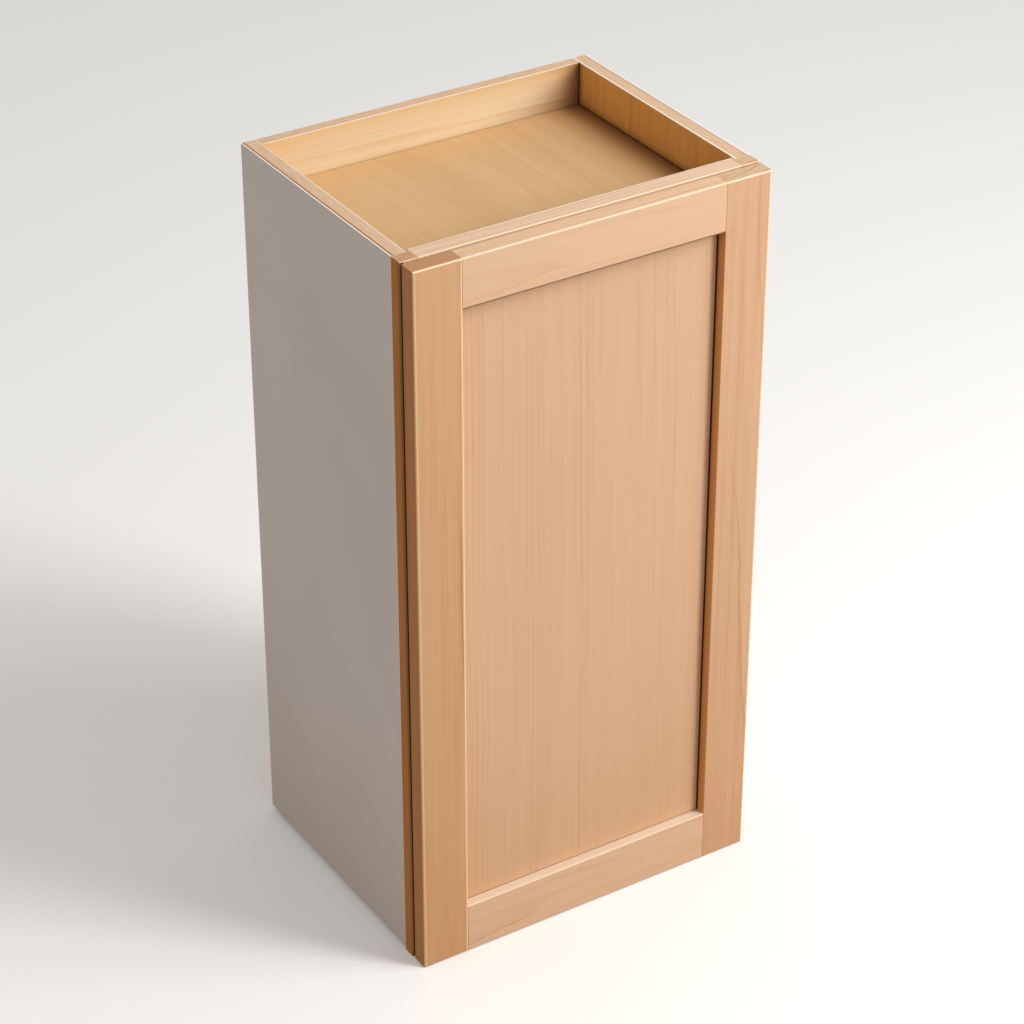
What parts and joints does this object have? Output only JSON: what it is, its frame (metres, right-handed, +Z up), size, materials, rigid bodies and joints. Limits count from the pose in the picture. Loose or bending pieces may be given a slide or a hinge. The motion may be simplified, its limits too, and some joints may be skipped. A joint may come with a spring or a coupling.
{
  "type": "hanging wall cabinet",
  "caption": "Tall narrow face-frame wall cabinet with a recessed-panel door on cup hinges, laminated sides, a recessed top and adjustable shelves.",
  "frame": {"origin": "middle of the cabinet's footprint, door included, at the level of the base", "axes": "+Z up along the cabinet's height; the door faces -Y and the wall is at +Y; +X is to the right for someone facing the door"},
  "size_m": [0.381, 0.3074, 0.762],
  "materials": {
    "maple": "sanded bare maple",
    "plywood": "clear-coated plywood",
    "maple_veneer": "sanded bare maple veneer",
    "laminate": "satin white laminate",
    "edge_band": "thin maple band",
    "nickel": "nickel-plated steel",
    "bumper": "clear soft plastic"
  },
  "bodies": {
    "cabinet": {"left_side": "plywood", "right_side": "plywood", "left_skin": "laminate", "right_skin": "laminate", "top_panel": "plywood", "bottom_panel": "plywood", "back_panel": "plywood", "top_hanging_rail": "plywood", "bottom_hanging_rail": "plywood", "frame_left_stile": "maple", "frame_right_stile": "maple", "frame_top_rail": "maple", "frame_bottom_rail": "maple", "frame_dowels": "plywood", "lower_shelf": "plywood", "upper_shelf": "plywood", "lower_shelf_edging": "edge_band", "upper_shelf_edging": "edge_band", "shelf_supports": "nickel", "lower_hinge_arm": "nickel", "upper_hinge_arm": "nickel", "arm_screws": "nickel"},
    "door": {"door_left_stile": "maple", "door_right_stile": "maple", "door_top_rail": "maple", "door_bottom_rail": "maple", "door_panel": "maple_veneer", "door_bumpers": "bumper", "lower_hinge_cup": "nickel", "upper_hinge_cup": "nickel", "hinge_pins": "nickel", "cup_screws": "nickel"}
  },
  "joints": [
    {"name": "door_swing", "type": "hinge", "parent": "cabinet", "child": "door", "pos_m": [0.183, -0.1441, 0.381], "axis": [0, 0, 1], "range_deg": [0, 105]}
  ]
}
